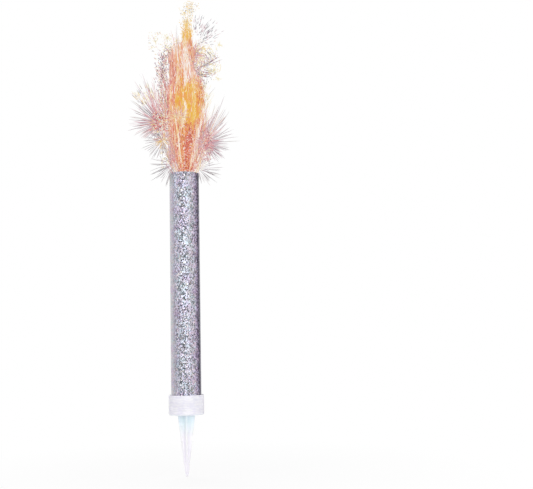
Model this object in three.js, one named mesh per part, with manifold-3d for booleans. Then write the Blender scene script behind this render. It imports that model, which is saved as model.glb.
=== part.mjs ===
// Ice fountain for a cake: a foil-wrapped sparkler tube pushed into a plastic spike holder, shown burning.
// Units are millimetres, +Z is up, and the origin is on the axis at the underside of the holder's cup,
// which is where the top of the cake lies.

import * as THREE from "three";
import { mergeVertices } from "three/addons/utils/BufferGeometryUtils.js";
import Module from "manifold-3d";

const wasm = await Module();
wasm.setup();

// Driving dimensions: the tube and its wrap
const TUBE_LENGTH = 120;
const TUBE_BORE = 12.4;
const TUBE_WALL = 1.1;
const FOIL_THICKNESS = 0.16;
const GLUE_LINE = 0.04;
const FOIL_LAP = 4;
const FOIL_LAP_RAMP = 1.6;
const FOIL_LAP_AZIMUTH = THREE.MathUtils.degToRad(75);
const FOIL_SETBACK = 0.1;

// Driving dimensions: the spike holder, one moulding
const CUP_DEPTH = 8.6;
const CUP_FLOOR = 1.2;
const CUP_WALL = 0.9;
const CUP_CLEARANCE = 0.15;
const CUP_FOOT_ROUND = 0.9;
const CUP_RIM_CHAMFER = 0.25;
const GRIP_RIB_COUNT = 6;
const GRIP_RIB_WIDTH = 0.8;
const GRIP_CLEARANCE = 0.05;
const GRIP_RIB_SETBACK = 0.85;
const GRIP_RIB_LEAD_IN = 1.8;
const SPIKE_LENGTH = 29.8;
const SPIKE_CORE_DIAMETER = 3.2;
const SPIKE_TIP_DIAMETER = 2.4;
const SPIKE_POINT_LENGTH = 2.6;
const SPIKE_POINT_FLAT = 1.0;
const SPIKE_FIN_COUNT = 4;
const SPIKE_FIN_SPAN = 8.6;
const SPIKE_FIN_END_SPAN = 3.0;
const SPIKE_FIN_LENGTH = 23.5;
const SPIKE_FIN_THICKNESS = 1.1;

// Driving dimensions: what the tube holds
const FILL_CLEARANCE = 0.05;
const STACK_GAP = 0.05;
const PLUG_SETBACK = 0.5;
const PLUG_LENGTH = 14;
const PLUG_DIMPLE_DEPTH = 0.8;
const PLUG_DIMPLE_DIAMETER = 6;
const WAD_THICKNESS = 1.5;
const CHOKE_SETBACK = 0.8;
const CHOKE_LENGTH = 3.2;
const CHOKE_BORE = 9.4;
const CHOKE_CHAMFER = 0.6;
const CRATER_DEPTH = 2.2;
const CRATER_STEPS = 4;

// Driving dimensions: the burning plume, measured up from the tube's mouth
const FLAME_CLEARANCE = 0.3;
const FLAME_STEPS = 14;
const FLAME_SIDES = 10;
const TONGUE_ROOT_DEPTH = 1;

// The tongues of flame: how high each one rises, and its [x, y, radius] at even steps up to its tip
const TONGUES = [
  {
    height: 89,
    course: [
      [0, 0, 4.1],
      [-0.2, 0, 6.6],
      [0.2, 0, 6.4],
      [0.6, 0, 6.2],
      [0.9, 0, 5.2],
      [1.7, 0, 2.9],
      [2.3, 0, 1.8],
      [2.8, 0, 0],
    ],
  },
  {
    height: 66,
    course: [
      [-1.5, -0.6, 2],
      [-3.7, -1, 3.4],
      [-4.1, -1.2, 3.5],
      [-4.6, -1.4, 3.6],
      [-5.2, -1.2, 2.7],
      [-7, -1, 0],
    ],
  },
  {
    height: 54,
    course: [
      [1.5, 0.6, 2],
      [3.6, 1, 3.9],
      [4.6, 1.2, 3.9],
      [6.4, 1.4, 4.1],
      [6.6, 1.2, 3.6],
      [6, 1, 0],
    ],
  },
  {
    height: 57,
    course: [
      [0.5, -1.6, 2],
      [1.4, -4.6, 3.7],
      [1.8, -5.2, 3.7],
      [2.2, -4.8, 3.1],
      [1.9, -4.2, 0],
    ],
  },
  {
    height: 61,
    course: [
      [-0.5, 1.6, 2],
      [-1.4, 4.6, 3.7],
      [-1.8, 5.4, 3.8],
      [-1.6, 5.2, 3.2],
      [-1.2, 4.4, 0],
    ],
  },
];

const SECTOR_CLEARANCE = 0.2;
const UPPER_FROM = 38.2;
const SIDE_HALF_WIDTH = 54;
const FRONT_HALF_WIDTH = 34;
const TRAIL_DIAMETER = 0.7;
const TRAIL_SIDES = 6;

// A spark trail's length as a share of the burst's reach, by where it points and by chance
const SIDEWAYS_SHARE = 0.65;
const BACKWARD_SHARE = 0.12;
const UNEVEN_SHARE = 0.56;
const UNEVEN_STEP = 12.9898;

// The clusters of spark bursts. Each cluster keeps to its own sector round the flame, given by the azimuth
// of its middle and its half width in degrees, and to the upper or the lower storey of the plume.
// Each burst is a ball of spark trails: where its middle lies, how far it throws and which way it faces.
const CLUSTERS = [
  {
    name: "left_spark_burst",
    azimuth: 180,
    halfWidth: SIDE_HALF_WIDTH,
    upper: false,
    bursts: [
      { at: [-11.9, 2, 26.2], ball: 2.2, reach: 19, face: [-1, 0.1, 0.15], detail: 2 },
      { at: [-10.8, -3.5, 16.8], ball: 1.7, reach: 11, face: [-1, -0.3, -0.1], detail: 1 },
      { at: [-6.4, 0.6, 6], ball: 1.6, reach: 15, face: [-0.9, 0.1, -0.5], detail: 1 },
    ],
  },
  {
    name: "right_spark_burst",
    azimuth: 0,
    halfWidth: SIDE_HALF_WIDTH,
    upper: false,
    bursts: [
      { at: [10.6, -1.5, 15.8], ball: 2.2, reach: 18, face: [1, -0.1, 0.1], detail: 2 },
      { at: [7, 1.4, 5.4], ball: 1.6, reach: 14, face: [0.9, 0.1, -0.5], detail: 1 },
    ],
  },
  {
    name: "upper_right_spark_burst",
    azimuth: 0,
    halfWidth: SIDE_HALF_WIDTH,
    upper: true,
    bursts: [
      { at: [7.4, 1, 60], ball: 1.8, reach: 14, face: [1, 0, -0.1], detail: 2 },
      { at: [5.6, -1, 68.7], ball: 1.4, reach: 14, face: [0.7, 0, 0.7], detail: 1 },
    ],
  },
  {
    name: "upper_left_spark_burst",
    azimuth: 180,
    halfWidth: SIDE_HALF_WIDTH,
    upper: true,
    bursts: [
      { at: [-9.6, 1.2, 57], ball: 1.8, reach: 8, face: [-1, 0.1, 0.1], detail: 1 },
      { at: [-9.8, -0.6, 46.7], ball: 1.7, reach: 8, face: [-1, 0, -0.1], detail: 1 },
    ],
  },
  {
    name: "front_spark_burst",
    azimuth: 270,
    halfWidth: FRONT_HALF_WIDTH,
    upper: false,
    bursts: [{ at: [-2.4, -10.2, 27.2], ball: 1.7, reach: 13, face: [-0.1, -1, 0], detail: 1 }],
  },
  {
    name: "back_spark_burst",
    azimuth: 90,
    halfWidth: FRONT_HALF_WIDTH,
    upper: false,
    bursts: [{ at: [2, 10.8, 22.2], ball: 1.8, reach: 16, face: [0.1, 1, 0.1], detail: 1 }],
  },
];

// Worked out from the driving dimensions
const ROUND_SIDES = 48;
const SPIKE_SIDES = 20;
const boreRadius = TUBE_BORE / 2;
const tubeRadius = boreRadius + TUBE_WALL;
const foilInnerRadius = tubeRadius + GLUE_LINE;
const foilRadius = foilInnerRadius + FOIL_THICKNESS;
const lapRadius = foilRadius + GLUE_LINE + FOIL_THICKNESS;
const cupBoreRadius = lapRadius + CUP_CLEARANCE;
const cupRadius = cupBoreRadius + CUP_WALL;
const cupTop = CUP_FLOOR + CUP_DEPTH;
const midFloor = CUP_FLOOR / 2;
const tubeBottom = CUP_FLOOR;
const mouth = tubeBottom + TUBE_LENGTH;
const fillRadius = boreRadius - FILL_CLEARANCE;
const plugBottom = tubeBottom + PLUG_SETBACK;
const plugTop = plugBottom + PLUG_LENGTH;
const wadBottom = plugTop + STACK_GAP;
const wadTop = wadBottom + WAD_THICKNESS;
const chokeTop = mouth - CHOKE_SETBACK;
const chokeBottom = chokeTop - CHOKE_LENGTH;
const chargeBottom = wadTop + STACK_GAP;
const chargeTop = chokeBottom - STACK_GAP;
const craterRadius = CHOKE_BORE / 2;

// Solids and meshes

function solidOf(geometry) {
  const bare = geometry.index ? geometry.toNonIndexed() : geometry.clone();
  bare.deleteAttribute("normal");
  bare.deleteAttribute("uv");
  const merged = mergeVertices(bare);
  return new wasm.Manifold(
    new wasm.Mesh({
      numProp: 3,
      vertProperties: merged.attributes.position.array,
      triVerts: new Uint32Array(merged.index.array),
    }),
  );
}

function geometryOf(solid) {
  const mesh = solid.getMesh();
  const indexed = new THREE.BufferGeometry();
  indexed.setAttribute("position", new THREE.BufferAttribute(mesh.vertProperties, 3));
  indexed.setIndex(new THREE.BufferAttribute(mesh.triVerts, 1));
  const flat = indexed.toNonIndexed();
  flat.computeVertexNormals();
  return flat;
}

// A profile of [radius, height] pairs turned round the Z axis
function turned(profile, sides = ROUND_SIDES) {
  const points = profile.map(([radius, height]) => new THREE.Vector2(radius, height));
  return new THREE.LatheGeometry(points, sides).rotateX(Math.PI / 2);
}

function ring(inner, outer, bottom, top) {
  return turned([
    [inner, bottom],
    [outer, bottom],
    [outer, top],
    [inner, top],
    [inner, bottom],
  ]);
}

function mesh(name, geometry, material) {
  const made = new THREE.Mesh(geometry, material);
  made.name = name;
  return made;
}

// A quarter round from the first corner to the last, for a turned profile
function quarterRound(centre, radius, fromAngle, steps = 5) {
  return Array.from({ length: steps + 1 }, (_, i) => {
    const angle = fromAngle + (i / steps) * (Math.PI / 2);
    return [centre[0] + radius * Math.cos(angle), centre[1] + radius * Math.sin(angle)];
  });
}

// The spike holder

function cup() {
  const foot = quarterRound([cupRadius - CUP_FOOT_ROUND, CUP_FOOT_ROUND], CUP_FOOT_ROUND, -Math.PI / 2);
  return solidOf(
    turned([
      [0, 0],
      ...foot,
      [cupRadius, cupTop - CUP_RIM_CHAMFER],
      [cupRadius - CUP_RIM_CHAMFER, cupTop],
      [cupBoreRadius + CUP_RIM_CHAMFER, cupTop],
      [cupBoreRadius, cupTop - CUP_RIM_CHAMFER],
      [cupBoreRadius, CUP_FLOOR],
      [0, CUP_FLOOR],
    ]),
  );
}

// One upright rib on the cup's bore, which grips the wrap and has a sloping lead-in at its top
function gripRib() {
  const inner = foilRadius + GRIP_CLEARANCE;
  const outer = cupBoreRadius + CUP_WALL / 2;
  const top = cupTop - GRIP_RIB_SETBACK;
  const side = new THREE.Shape([
    new THREE.Vector2(inner, midFloor),
    new THREE.Vector2(outer, midFloor),
    new THREE.Vector2(outer, top),
    new THREE.Vector2(cupBoreRadius, top),
    new THREE.Vector2(inner, top - GRIP_RIB_LEAD_IN),
  ]);
  const rib = new THREE.ExtrudeGeometry(side, { depth: GRIP_RIB_WIDTH, bevelEnabled: false });
  return rib.translate(0, 0, -GRIP_RIB_WIDTH / 2).rotateX(Math.PI / 2);
}

function spikeCore() {
  const pointTop = -SPIKE_LENGTH + SPIKE_POINT_LENGTH;
  return solidOf(
    turned(
      [
        [0, -SPIKE_LENGTH],
        [SPIKE_POINT_FLAT / 2, -SPIKE_LENGTH],
        [SPIKE_TIP_DIAMETER / 2, pointTop],
        [SPIKE_CORE_DIAMETER / 2, midFloor],
        [0, midFloor],
      ],
      SPIKE_SIDES,
    ),
  );
}

// Two opposite fins in one blade, tapering from the cup down to the spike's core
function spikeBlade() {
  const blade = new THREE.Shape([
    new THREE.Vector2(-SPIKE_FIN_SPAN / 2, midFloor),
    new THREE.Vector2(-SPIKE_FIN_SPAN / 2, 0),
    new THREE.Vector2(-SPIKE_FIN_END_SPAN / 2, -SPIKE_FIN_LENGTH),
    new THREE.Vector2(SPIKE_FIN_END_SPAN / 2, -SPIKE_FIN_LENGTH),
    new THREE.Vector2(SPIKE_FIN_SPAN / 2, 0),
    new THREE.Vector2(SPIKE_FIN_SPAN / 2, midFloor),
  ]);
  const plate = new THREE.ExtrudeGeometry(blade, { depth: SPIKE_FIN_THICKNESS, bevelEnabled: false });
  return plate.translate(0, 0, -SPIKE_FIN_THICKNESS / 2).rotateX(Math.PI / 2);
}

function spikeHolder() {
  let holder = cup().add(spikeCore());
  for (let i = 0; i < GRIP_RIB_COUNT; i++) {
    const azimuth = FOIL_LAP_AZIMUTH + ((i + 0.5) / GRIP_RIB_COUNT) * 2 * Math.PI;
    holder = holder.add(solidOf(gripRib().rotateZ(azimuth)));
  }
  for (let i = 0; i < SPIKE_FIN_COUNT / 2; i++) {
    holder = holder.add(solidOf(spikeBlade().rotateZ((i / SPIKE_FIN_COUNT) * 2 * Math.PI)));
  }
  return geometryOf(holder);
}

// The tube and its wrap

// The foil's section: once round the tube, then up a short ramp and over its own first edge
function foilSection() {
  const lapAngle = FOIL_LAP / foilRadius;
  const rampAngle = FOIL_LAP_RAMP / foilRadius;
  const step = FOIL_THICKNESS + GLUE_LINE;
  const angles = Array.from({ length: ROUND_SIDES }, (_, i) => (i / ROUND_SIDES) * 2 * Math.PI);
  const turns = [
    ...angles.filter((angle) => angle < 2 * Math.PI - rampAngle),
    2 * Math.PI - rampAngle,
    2 * Math.PI,
    2 * Math.PI + lapAngle / 2,
    2 * Math.PI + lapAngle,
  ];
  const lift = (angle) => step * THREE.MathUtils.smoothstep(angle, 2 * Math.PI - rampAngle, 2 * Math.PI);
  const point = (angle, radius) =>
    new THREE.Vector2(radius * Math.cos(angle), radius * Math.sin(angle));
  const outside = turns.map((angle) => point(angle, foilRadius + lift(angle)));
  const inside = turns.map((angle) => point(angle, foilInnerRadius + lift(angle))).reverse();
  return new THREE.Shape([...outside, ...inside]);
}

function foilWrap() {
  const length = TUBE_LENGTH - 2 * FOIL_SETBACK;
  const sleeve = new THREE.ExtrudeGeometry(foilSection(), { depth: length, bevelEnabled: false });
  const firstEdge = FOIL_LAP_AZIMUTH - (FOIL_LAP - FOIL_LAP_RAMP) / foilRadius / 2;
  return sleeve.rotateZ(firstEdge).translate(0, 0, tubeBottom + FOIL_SETBACK);
}

function paperTube() {
  return ring(boreRadius, tubeRadius, tubeBottom, mouth);
}

// What the tube holds

function basePlug() {
  return turned([
    [0, plugBottom + PLUG_DIMPLE_DEPTH],
    [PLUG_DIMPLE_DIAMETER / 2, plugBottom],
    [fillRadius, plugBottom],
    [fillRadius, plugTop],
    [0, plugTop],
  ]);
}

function bottomWad() {
  return turned([
    [0, wadBottom],
    [fillRadius, wadBottom],
    [fillRadius, wadTop],
    [0, wadTop],
  ]);
}

// The bowl that the fire has eaten into the charge, from its rim down to the axis
function craterBowl(radius, depth) {
  return Array.from({ length: CRATER_STEPS + 1 }, (_, i) => {
    const angle = (i / CRATER_STEPS) * (Math.PI / 2);
    return [i < CRATER_STEPS ? radius * Math.cos(angle) : 0, chargeTop - depth * Math.sin(angle)];
  });
}

function sparkCharge() {
  return turned([
    [0, chargeBottom],
    [fillRadius, chargeBottom],
    [fillRadius, chargeTop],
    ...craterBowl(craterRadius, CRATER_DEPTH),
  ]);
}

function chokeRing() {
  return turned([
    [CHOKE_BORE / 2, chokeBottom],
    [fillRadius, chokeBottom],
    [fillRadius, chokeTop],
    [CHOKE_BORE / 2 + CHOKE_CHAMFER, chokeTop],
    [CHOKE_BORE / 2, chokeTop - CHOKE_CHAMFER],
    [CHOKE_BORE / 2, chokeBottom],
  ]);
}

// The burning plume

// A stack of level rings along a tongue's course, closed by a flat foot and a pointed tip
function tongue({ height, course }, grown) {
  const spine = new THREE.CatmullRomCurve3(course.map((row) => new THREE.Vector3(...row)));
  const bottom = mouth - TONGUE_ROOT_DEPTH;
  const tall = height + TONGUE_ROOT_DEPTH + grown;
  const positions = [];
  for (let i = 0; i < FLAME_STEPS; i++) {
    const { x, y, z: radius } = spine.getPoint(i / FLAME_STEPS);
    for (let side = 0; side < FLAME_SIDES; side++) {
      const angle = (side / FLAME_SIDES) * 2 * Math.PI;
      positions.push(x + (radius + grown) * Math.cos(angle));
      positions.push(y + (radius + grown) * Math.sin(angle));
      positions.push(bottom + (tall * i) / FLAME_STEPS);
    }
  }
  const foot = positions.length / 3;
  const tip = foot + 1;
  positions.push(course[0][0], course[0][1], bottom);
  positions.push(course.at(-1)[0], course.at(-1)[1], bottom + tall);
  const faces = [];
  for (let side = 0; side < FLAME_SIDES; side++) {
    const next = (side + 1) % FLAME_SIDES;
    faces.push(foot, next, side);
    for (let i = 0; i < FLAME_STEPS - 1; i++) {
      const low = i * FLAME_SIDES;
      const high = low + FLAME_SIDES;
      faces.push(low + side, low + next, high + next, low + side, high + next, high + side);
    }
    const last = (FLAME_STEPS - 1) * FLAME_SIDES;
    faces.push(last + side, last + next, tip);
  }
  const geometry = new THREE.BufferGeometry();
  geometry.setAttribute("position", new THREE.Float32BufferAttribute(positions, 3));
  geometry.setIndex(faces);
  return solidOf(geometry);
}

// The flame fills the crater, passes the choke and opens into its tongues.
// Grown by a clearance, it is what the bursts are cut back from.
function flame(grown = 0) {
  const root = [
    ...craterBowl(craterRadius - FLAME_CLEARANCE, CRATER_DEPTH - FLAME_CLEARANCE).reverse(),
    [craterRadius - FLAME_CLEARANCE, mouth],
    [0, mouth],
  ];
  return TONGUES.reduce((made, each) => made.add(tongue(each, grown)), solidOf(turned(root)));
}

// A burst's middle, from its place over the tube's mouth
function middleOf({ at: [x, y, height] }) {
  return new THREE.Vector3(x, y, mouth + height);
}

// The planes that bound a cluster's cell, as [normal, distance] with the cell on the near side
function cellOf({ azimuth, halfWidth, upper }) {
  const sides = [-1, 1].map((side) => {
    const edge = THREE.MathUtils.degToRad(azimuth + side * halfWidth);
    return [new THREE.Vector3(-Math.sin(edge) * side, Math.cos(edge) * side, 0), -SECTOR_CLEARANCE];
  });
  const split = mouth + UPPER_FROM;
  const storey = upper
    ? [new THREE.Vector3(0, 0, -1), -split - SECTOR_CLEARANCE]
    : [new THREE.Vector3(0, 0, 1), split - SECTOR_CLEARANCE];
  return [...sides, storey];
}

// How far a trail of a burst flies, as a share of the burst's reach
function trailShare(toFace, number) {
  const aimed = toFace > 0 ? 1 : BACKWARD_SHARE;
  const chance = UNEVEN_SHARE * (0.5 + 0.5 * Math.sin(UNEVEN_STEP * number));
  return (1 - chance) * THREE.MathUtils.lerp(SIDEWAYS_SHARE, aimed, Math.abs(toFace));
}

// A ball with every facet drawn out to a spark trail, which ends inside the cell
function burst(each, cell) {
  const middle = middleOf(each);
  const face = new THREE.Vector3(...each.face).normalize();
  const corners = new THREE.IcosahedronGeometry(each.ball, each.detail).getAttribute("position");
  const positions = [];
  for (let i = 0; i < corners.count; i += 3) {
    const [a, b, c] = [0, 1, 2].map((k) => new THREE.Vector3().fromBufferAttribute(corners, i + k));
    const way = a.clone().add(b).add(c).normalize();
    const wanted = each.ball + each.reach * trailShare(way.dot(face), i);
    const room = cell.map(([normal, distance]) => {
      const closing = way.dot(normal);
      return closing > 0 ? (distance - middle.dot(normal)) / closing : Infinity;
    });
    const tip = way.clone().multiplyScalar(Math.min(wanted, ...room));
    positions.push(...[a, b, tip, b, c, tip, c, a, tip].flatMap((corner) => corner.toArray()));
  }
  const geometry = new THREE.BufferGeometry();
  geometry.setAttribute("position", new THREE.Float32BufferAttribute(positions, 3));
  return solidOf(geometry.translate(middle.x, middle.y, middle.z));
}

// What the bursts stay clear of: the flame and the tube's mouth
function keptClear() {
  const mouthRing = turned([
    [0, tubeBottom],
    [lapRadius + FLAME_CLEARANCE, tubeBottom],
    [lapRadius + FLAME_CLEARANCE, mouth + FLAME_CLEARANCE],
    [0, mouth + FLAME_CLEARANCE],
  ]);
  return flame(FLAME_CLEARANCE).add(solidOf(mouthRing));
}

// A straight trail of sparks that joins two points
function trail(start, end) {
  const way = end.clone().sub(start);
  const radius = TRAIL_DIAMETER / 2;
  const rod = new THREE.CylinderGeometry(radius, radius, way.length(), TRAIL_SIDES);
  const turn = new THREE.Quaternion();
  turn.setFromUnitVectors(new THREE.Vector3(0, 1, 0), way.clone().normalize());
  const middle = start.clone().addScaledVector(way, 0.5);
  return solidOf(rod.applyQuaternion(turn).translate(middle.x, middle.y, middle.z));
}

// The bursts of one cluster in one body, joined by trails and cut back from the flame and the tube
function sparkCluster(cluster, keepOut) {
  const cell = cellOf(cluster);
  const middles = cluster.bursts.map(middleOf);
  const trails = middles.slice(1).map((end, i) => trail(middles[i], end));
  const balls = cluster.bursts.map((each) => burst(each, cell));
  const whole = [...balls, ...trails].reduce((made, next) => made.add(next));
  const bodies = whole.subtract(keepOut).decompose();
  bodies.sort((a, b) => b.volume() - a.volume());
  return geometryOf(bodies[0]);
}

// Materials

function finish(color, roughness, metalness, extra = {}) {
  return new THREE.MeshStandardMaterial({ color, roughness, metalness, ...extra });
}

const holderPlastic = finish(0xeceaf4, 0.35, 0, { transparent: true, opacity: 0.85 });
const holographicFoil = finish(0xb4b4c4, 0.28, 0.9);
const kraftBoard = finish(0xd9cdb8, 0.9, 0);
const firedClay = finish(0xb9b2a6, 0.95, 0);
const greyFelt = finish(0xc8c4bb, 0.95, 0);
const sparkComposition = finish(0x8e8c88, 0.85, 0.1);
const chokeBoard = finish(0xe6dfd2, 0.85, 0);
const flameGlow = finish(0xf7a24a, 0.8, 0, { emissive: 0xe8762a });
const sparkGlow = finish(0xd78a98, 0.7, 0, { emissive: 0x9c4a58 });

// The assembly: the holder is the fixed part, and the tube with all it holds lifts out of the cup

const holder = new THREE.Group();
holder.add(mesh("spike_holder", spikeHolder(), holderPlastic));

const fountain = new THREE.Group();
fountain.add(
  mesh("paper_tube", paperTube(), kraftBoard),
  mesh("foil_wrap", foilWrap(), holographicFoil),
  mesh("base_plug", basePlug(), firedClay),
  mesh("bottom_wad", bottomWad(), greyFelt),
  mesh("spark_charge", sparkCharge(), sparkComposition),
  mesh("choke_ring", chokeRing(), chokeBoard),
);

const plume = new THREE.Group();
plume.add(mesh("flame_core", geometryOf(flame()), flameGlow));
const keepOut = keptClear();
for (const cluster of CLUSTERS) {
  plume.add(mesh(cluster.name, sparkCluster(cluster, keepOut), sparkGlow));
}
fountain.add(plume);

const iceFountain = new THREE.Group();
iceFountain.name = "ice_fountain";
iceFountain.add(holder, fountain);

export default iceFountain;
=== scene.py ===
import random
from math import cos, exp, pi, radians, sin

import bmesh
import bpy
from mathutils import Matrix, Vector, noise
from mathutils.bvhtree import BVHTree


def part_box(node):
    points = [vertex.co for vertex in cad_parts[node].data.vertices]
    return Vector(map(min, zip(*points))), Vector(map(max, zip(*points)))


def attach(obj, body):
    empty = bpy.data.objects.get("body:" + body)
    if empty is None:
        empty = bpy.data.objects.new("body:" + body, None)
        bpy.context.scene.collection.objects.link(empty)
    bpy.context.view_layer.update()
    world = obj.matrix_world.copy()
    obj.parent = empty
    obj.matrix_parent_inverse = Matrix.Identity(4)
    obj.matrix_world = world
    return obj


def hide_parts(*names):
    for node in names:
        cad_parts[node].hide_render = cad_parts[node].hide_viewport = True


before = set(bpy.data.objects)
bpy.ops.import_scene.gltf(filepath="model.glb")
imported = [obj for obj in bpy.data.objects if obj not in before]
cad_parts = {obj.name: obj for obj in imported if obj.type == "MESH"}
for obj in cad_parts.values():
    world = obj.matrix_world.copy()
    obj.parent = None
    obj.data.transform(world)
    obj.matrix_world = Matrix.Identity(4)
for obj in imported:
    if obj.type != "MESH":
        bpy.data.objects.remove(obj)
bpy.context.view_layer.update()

# A lit cake fountain: a tube wrapped in holographic film, in a milky plastic spike holder, with its plume
# of flame and sparks. Lengths are in metres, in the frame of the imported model.

MM = 0.001
chance = random.Random(24)
uniform, gauss, choice = chance.uniform, chance.gauss, chance.choice

# Places taken from the frame

tube_low, tube_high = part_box("paper_tube")
foil_low, foil_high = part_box("foil_wrap")
holder_low, holder_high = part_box("spike_holder")
PLUME_BASE = tube_high.z + 1.2 * MM
TUBE_RADIUS = tube_high.x
CUP_RADIUS = holder_high.x
CUP_TOP = holder_high.z
SPIKE_TIP = holder_low.z

# Meshes


def linked(name, data):
    """A new object in the scene."""
    made = bpy.data.objects.new(name, data)
    bpy.context.scene.collection.objects.link(made)
    return made


def new_mesh(name, verts, faces):
    mesh = bpy.data.meshes.new(name)
    mesh.from_pydata([tuple(v) for v in verts], [], faces)
    return mesh


def paint(mesh, material):
    mesh.materials.clear()
    mesh.materials.append(material)


def new_piece(name, verts, faces, material, body, replaces, smooth_below):
    mesh = new_mesh(name, verts, faces)
    mesh.validate()
    return dress(name, mesh, material, body, replaces, smooth_below)


def dress(name, mesh, material, body, replaces, smooth_below):
    """A mesh as a piece of the object, with its finish, its body and the nodes it replaces."""
    paint(mesh, material)
    mesh.shade_smooth()
    mesh.set_sharp_from_angle(angle=radians(smooth_below))
    piece = linked(name, mesh)
    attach(piece, body)
    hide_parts(*replaces)
    return piece


def lathe(profile, segments):
    """Vertices and faces of (radius, height) pairs turned round Z."""
    verts, faces, rings = [], [], []
    for radius, height in profile:
        if radius <= 0:
            rings.append([len(verts)])
            verts.append(Vector((0, 0, height)))
            continue
        rings.append(list(range(len(verts), len(verts) + segments)))
        for i in range(segments):
            angle = 2 * pi * i / segments
            verts.append(Vector((radius * cos(angle), radius * sin(angle), height)))
    for low, high in zip(rings, rings[1:]):
        for i in range(segments):
            j = (i + 1) % segments
            face = [low[i % len(low)], low[j % len(low)], high[j % len(high)], high[i % len(high)]]
            faces.append(tuple(dict.fromkeys(face)))
    return verts, faces


def loft(sections):
    """Vertices and faces of a stack of like rings, closed at both ends."""
    count = len(sections[0])
    verts = [point for section in sections for point in section]
    faces = [tuple(reversed(range(count)))]
    for k in range(len(sections) - 1):
        for i in range(count):
            j = (i + 1) % count
            faces.append((k * count + i, k * count + j, (k + 1) * count + j, (k + 1) * count + i))
    faces.append(tuple(range(len(verts) - count, len(verts))))
    return verts, faces


def arc(centre, radius, start, end, steps):
    """Points (radius, height) on an arc, with its angles in degrees."""
    angles = [radians(start + (end - start) * i / steps) for i in range(steps + 1)]
    return [(centre[0] + radius * cos(a), centre[1] + radius * sin(a)) for a in angles]


def fused(name, parts):
    """The union of closed parts as one mesh."""
    objects = []
    for verts, faces in parts:
        mesh = new_mesh(name, verts, faces)
        shaped = bmesh.new()
        shaped.from_mesh(mesh)
        bmesh.ops.recalc_face_normals(shaped, faces=shaped.faces)
        shaped.to_mesh(mesh)
        shaped.free()
        objects.append(linked(name, mesh))
    base = objects[0]
    for part in objects[1:]:
        union = base.modifiers.new("union", "BOOLEAN")
        union.operation, union.solver, union.object = "UNION", "EXACT", part
    depsgraph = bpy.context.evaluated_depsgraph_get()
    made = bpy.data.meshes.new_from_object(base.evaluated_get(depsgraph))
    for part in objects:
        bpy.data.objects.remove(part)
    return made


# Materials


class Nodes:
    """Short ways to add nodes to a material's or the world's node tree."""

    def __init__(self, owner):
        owner.use_nodes = True
        self.tree = owner.node_tree

    def add(self, kind, inputs=None, **settings):
        node = self.tree.nodes.new(f"ShaderNode{kind}")
        for key, value in settings.items():
            setattr(node, key, value)
        for key, value in (inputs or {}).items():
            self.put(node.inputs[key], value)
        return node

    def put(self, socket, value):
        if isinstance(value, bpy.types.NodeSocket):
            self.tree.links.new(value, socket)
        else:
            socket.default_value = value

    def math(self, operation, a, b=0, clamp=False):
        node = self.add("Math", {0: a, 1: b}, operation=operation, use_clamp=clamp)
        return node.outputs[0]

    def times(self, a, b):
        return self.math("MULTIPLY", a, b)

    def remap(self, value, low, high, start=0, end=1):
        inputs = {"Value": value, "From Min": low, "From Max": high, "To Min": start, "To Max": end}
        return self.add("MapRange", inputs).outputs[0]

    def noise(self, place, scale, detail):
        return self.add("TexNoise", {"Vector": place, "Scale": scale, "Detail": detail}).outputs["Fac"]

    def cells(self, place, scale):
        return self.add("TexVoronoi", {"Vector": place, "Scale": scale}).outputs

    def split(self, vector):
        return self.add("SeparateXYZ", {"Vector": vector}).outputs

    def length(self, vector):
        return self.add("VectorMath", {0: vector}, operation="LENGTH").outputs["Value"]

    def from_axis(self, parts):
        """How far a place is from the Z axis."""
        return self.length(self.add("CombineXYZ", {"X": parts["X"], "Y": parts["Y"]}).outputs[0])

    def vector(self, operation, a, b):
        return self.add("VectorMath", {0: a, 1: b}, operation=operation).outputs[0]

    def ramp(self, factor, stops):
        """A ramp with stops of (place, red, green, blue), each 0 to 255, or (place, linear grey)."""
        node = self.add("ValToRGB", {"Fac": factor})
        elements = node.color_ramp.elements
        while len(elements) < len(stops):
            elements.new(0.5)
        for element, (place, *colour) in zip(elements, stops):
            element.position = place
            element.color = (*(linear(*colour) if len(colour) == 3 else colour * 3), 1)
        return node.outputs["Color"]

    def mix(self, factor, a, b, blend="MIX"):
        node = self.add("Mix", data_type="RGBA", blend_type=blend)
        self.put(node.inputs["Factor"], factor)
        for key, value in (("A", a), ("B", b)):
            socket = next(s for s in node.inputs if s.name == key and s.type == "RGBA")
            self.put(socket, (*value, 1) if isinstance(value, tuple) else value)
        return next(s for s in node.outputs if s.type == "RGBA")

    def tinted(self, colour, tint):
        return self.mix(1, colour, tint, "MULTIPLY")

    def place(self):
        return self.add("TexCoord").outputs["Object"]

    def bump(self, height, distance, strength=1):
        node = self.add("Bump", {"Height": height, "Distance": distance, "Strength": strength})
        return node.outputs["Normal"]


class Shader(Nodes):
    """A Principled material."""

    def __init__(self, name, **plain):
        self.material = bpy.data.materials.new(name)
        super().__init__(self.material)
        self.surface = self.tree.nodes["Principled BSDF"]
        self.wear(**plain)

    def wear(self, **inputs):
        for key, value in inputs.items():
            self.put(self.surface.inputs[key.replace("_", " ")], value)


def linear(*rgb):
    """A colour given as 0 to 255 on the screen, in the linear numbers that shaders take."""
    return tuple((c / 255 / 12.92) if c <= 10 else ((c / 255 + 0.055) / 1.055) ** 2.4 for c in rgb)


def grey(value):
    return (value, value, value)


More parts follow.
